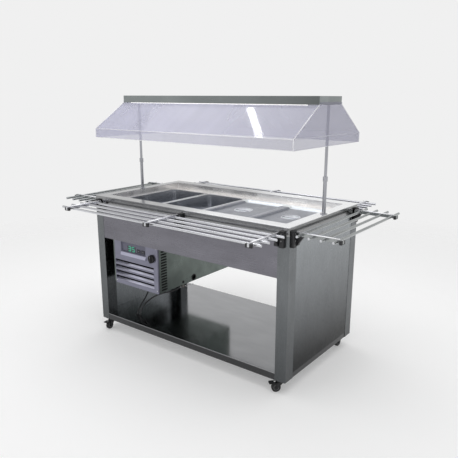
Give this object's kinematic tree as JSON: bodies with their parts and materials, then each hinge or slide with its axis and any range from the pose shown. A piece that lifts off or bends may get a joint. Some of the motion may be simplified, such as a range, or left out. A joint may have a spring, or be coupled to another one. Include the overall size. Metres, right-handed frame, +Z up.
{
  "type": "buffet cart",
  "caption": "Stainless buffet cart on casters: cold well with pans and lids, folding tubular tray slides, clear lamp canopy on two posts, refrigeration unit over an open shelf.",
  "frame": {"origin": "on the floor below the middle of the cart, midway between the tray slides' outer ends both ways", "axes": "+X along the cart's length to the right, -Y towards the side with the thermostat, +Z up"},
  "size_m": [1.946, 1.286, 1.509],
  "materials": {
    "frame_steel": "satin",
    "panel_steel": "satin",
    "rim_steel": "satin",
    "liner_steel": "satin",
    "unit_steel": "satin",
    "pan_steel": "polished",
    "lid_steel": "satin",
    "polished_steel": "polished",
    "cock_metal": "satin",
    "copper": "satin",
    "fin_aluminium": "satin",
    "caster_metal": "satin",
    "black_paint": "satin",
    "black_plastic": "satin",
    "dark_plastic": "matte",
    "button_plastic": "matte",
    "display_window": "gloss",
    "black_rubber": "matte",
    "wheel_rubber": "matte",
    "hose_plastic": "satin",
    "foam": "matte",
    "lamp_glass": "gloss",
    "diffuser_plastic": "satin",
    "clear_sheet": "gloss"
  },
  "bodies": {
    "cart": {"corner_posts": "frame_steel", "end_panels": "panel_steel", "bottom_shelf": "frame_steel", "aprons": "panel_steel", "worktop": "rim_steel", "underside_panel": "panel_steel", "well_liner": "liner_steel", "insulation": "foam", "evaporator_coil": "copper", "pan_bars": "liner_steel", "unit_housing": "unit_steel", "unit_front_panel": "unit_steel", "thermostat_case": "dark_plastic", "thermostat_display": "display_window", "compressor": "black_paint", "condenser_coil": "fin_aluminium", "fan_motor": "black_paint", "grommets": "black_rubber", "drain_cock": "cock_metal", "drain_hoses": "hose_plastic", "lower_posts": "polished_steel", "post_collars": "polished_steel", "slide_brackets": "black_plastic", "caster_plates": "caster_metal", "fasteners": "polished_steel"},
    "button_up": {"button_up": "button_plastic"},
    "button_down": {"button_down": "button_plastic"},
    "knob": {"control_knob": "black_plastic"},
    "fan": {"condenser_fan": "dark_plastic"},
    "drain_lever": {"drain_lever": "polished_steel"},
    "canopy": {"upper_posts": "polished_steel", "light_box": "panel_steel", "lamp_tube": "lamp_glass", "light_diffuser": "diffuser_plastic", "canopy_long_sheets": "clear_sheet", "canopy_end_sheets": "clear_sheet"},
    "slide_front": {"tray_slide_front": "polished_steel", "slide_fittings_front": "black_plastic"},
    "slide_rear": {"tray_slide_rear": "polished_steel", "slide_fittings_rear": "black_plastic"},
    "slide_left": {"tray_slide_left": "polished_steel", "slide_fittings_left": "black_plastic"},
    "slide_right": {"tray_slide_right": "polished_steel", "slide_fittings_right": "black_plastic"},
    "swivel_front_left": {"caster_fork_front_left": "caster_metal"},
    "wheel_front_left": {"caster_wheel_front_left": "wheel_rubber"},
    "brake_front_left": {"caster_brake_front_left": "caster_metal"},
    "swivel_front_right": {"caster_fork_front_right": "caster_metal"},
    "wheel_front_right": {"caster_wheel_front_right": "wheel_rubber"},
    "brake_front_right": {"caster_brake_front_right": "caster_metal"},
    "swivel_rear_left": {"caster_fork_rear_left": "caster_metal"},
    "wheel_rear_left": {"caster_wheel_rear_left": "wheel_rubber"},
    "swivel_rear_right": {"caster_fork_rear_right": "caster_metal"},
    "wheel_rear_right": {"caster_wheel_rear_right": "wheel_rubber"},
    "pan_1": {"pan_1": "pan_steel"},
    "pan_2": {"pan_2": "pan_steel"},
    "pan_3": {"pan_3": "pan_steel"},
    "pan_4": {"pan_4": "pan_steel"},
    "lid_3": {"lid_3": "lid_steel"},
    "lid_4": {"lid_4": "lid_steel"}
  },
  "joints": [
    {"name": "button_up_press", "type": "slide", "parent": "cart", "child": "button_up", "axis": [0, 1, 0], "range_m": [0, 0.0012], "stiffness_N_per_m": 300},
    {"name": "button_down_press", "type": "slide", "parent": "cart", "child": "button_down", "axis": [0, 1, 0], "range_m": [0, 0.0012], "stiffness_N_per_m": 300},
    {"name": "knob_turn", "type": "hinge", "parent": "cart", "child": "knob", "pos_m": [-0.249, -0.365, 0.56], "axis": [0, -1, 0], "range_deg": [0, 270]},
    {"name": "fan_spin", "type": "hinge", "parent": "cart", "child": "fan", "pos_m": [-0.406, -0.24, 0.4615], "axis": [0, 1, 0], "continuous": true},
    {"name": "drain_lever_turn", "type": "hinge", "parent": "cart", "child": "drain_lever", "pos_m": [-0.2056, -0.112, 0.33], "axis": [-1, 0, 0], "range_deg": [0, 90]},
    {"name": "canopy_height", "type": "slide", "parent": "cart", "child": "canopy", "axis": [0, 0, 1], "range_m": [-0.12, 0]},
    {"name": "slide_front_fold", "type": "hinge", "parent": "cart", "child": "slide_front", "pos_m": [0, -0.3945, 0.81], "axis": [1, 0, 0], "range_deg": [0, 90]},
    {"name": "slide_rear_fold", "type": "hinge", "parent": "cart", "child": "slide_rear", "pos_m": [0, 0.3945, 0.81], "axis": [-1, 0, 0], "range_deg": [0, 90]},
    {"name": "slide_left_fold", "type": "hinge", "parent": "cart", "child": "slide_left", "pos_m": [-0.7245, 0, 0.81], "axis": [0, -1, 0], "range_deg": [0, 90]},
    {"name": "slide_right_fold", "type": "hinge", "parent": "cart", "child": "slide_right", "pos_m": [0.7245, 0, 0.81], "axis": [0, 1, 0], "range_deg": [0, 90]},
    {"name": "swivel_front_left_turn", "type": "hinge", "parent": "cart", "child": "swivel_front_left", "pos_m": [-0.668, -0.345, 0.065], "axis": [0, 0, 1], "continuous": true},
    {"name": "wheel_front_left_roll", "type": "hinge", "parent": "swivel_front_left", "child": "wheel_front_left", "pos_m": [-0.66556, -0.37289, 0.025], "axis": [0.9962, 0.0872, 0], "continuous": true},
    {"name": "brake_front_left_press", "type": "hinge", "parent": "swivel_front_left", "child": "brake_front_left", "pos_m": [-0.66678, -0.35895, 0.054], "axis": [0.9962, 0.0872, 0], "range_deg": [0, 9]},
    {"name": "swivel_front_right_turn", "type": "hinge", "parent": "cart", "child": "swivel_front_right", "pos_m": [0.668, -0.345, 0.065], "axis": [0, 0, 1], "continuous": true},
    {"name": "wheel_front_right_roll", "type": "hinge", "parent": "swivel_front_right", "child": "wheel_front_right", "pos_m": [0.64926, -0.36581, 0.025], "axis": [0.7431, -0.6691, 0], "continuous": true},
    {"name": "brake_front_right_press", "type": "hinge", "parent": "swivel_front_right", "child": "brake_front_right", "pos_m": [0.65863, -0.3554, 0.054], "axis": [0.7431, -0.6691, 0], "range_deg": [0, 9]},
    {"name": "swivel_rear_left_turn", "type": "hinge", "parent": "cart", "child": "swivel_rear_left", "pos_m": [-0.668, 0.345, 0.065], "axis": [0, 0, 1], "continuous": true},
    {"name": "wheel_rear_left_roll", "type": "hinge", "parent": "swivel_rear_left", "child": "wheel_rear_left", "pos_m": [-0.67758, 0.31869, 0.025], "axis": [0.9397, -0.342, 0], "continuous": true},
    {"name": "swivel_rear_right_turn", "type": "hinge", "parent": "cart", "child": "swivel_rear_right", "pos_m": [0.668, 0.345, 0.065], "axis": [0, 0, 1], "continuous": true},
    {"name": "wheel_rear_right_roll", "type": "hinge", "parent": "swivel_rear_right", "child": "wheel_rear_right", "pos_m": [0.66314, 0.31743, 0.025], "axis": [0.9848, -0.1736, 0], "continuous": true},
    {"name": "pan_1_lift", "type": "slide", "parent": "cart", "child": "pan_1", "axis": [0, 0, 1], "range_m": [0, 0.15]},
    {"name": "pan_2_lift", "type": "slide", "parent": "cart", "child": "pan_2", "axis": [0, 0, 1], "range_m": [0, 0.15]},
    {"name": "pan_3_lift", "type": "slide", "parent": "cart", "child": "pan_3", "axis": [0, 0, 1], "range_m": [0, 0.15]},
    {"name": "pan_4_lift", "type": "slide", "parent": "cart", "child": "pan_4", "axis": [0, 0, 1], "range_m": [0, 0.15]},
    {"name": "lid_3_lift", "type": "slide", "parent": "pan_3", "child": "lid_3", "axis": [0, 0, 1], "range_m": [0, 0.1]},
    {"name": "lid_4_lift", "type": "slide", "parent": "pan_4", "child": "lid_4", "axis": [0, 0, 1], "range_m": [0, 0.1]}
  ]
}
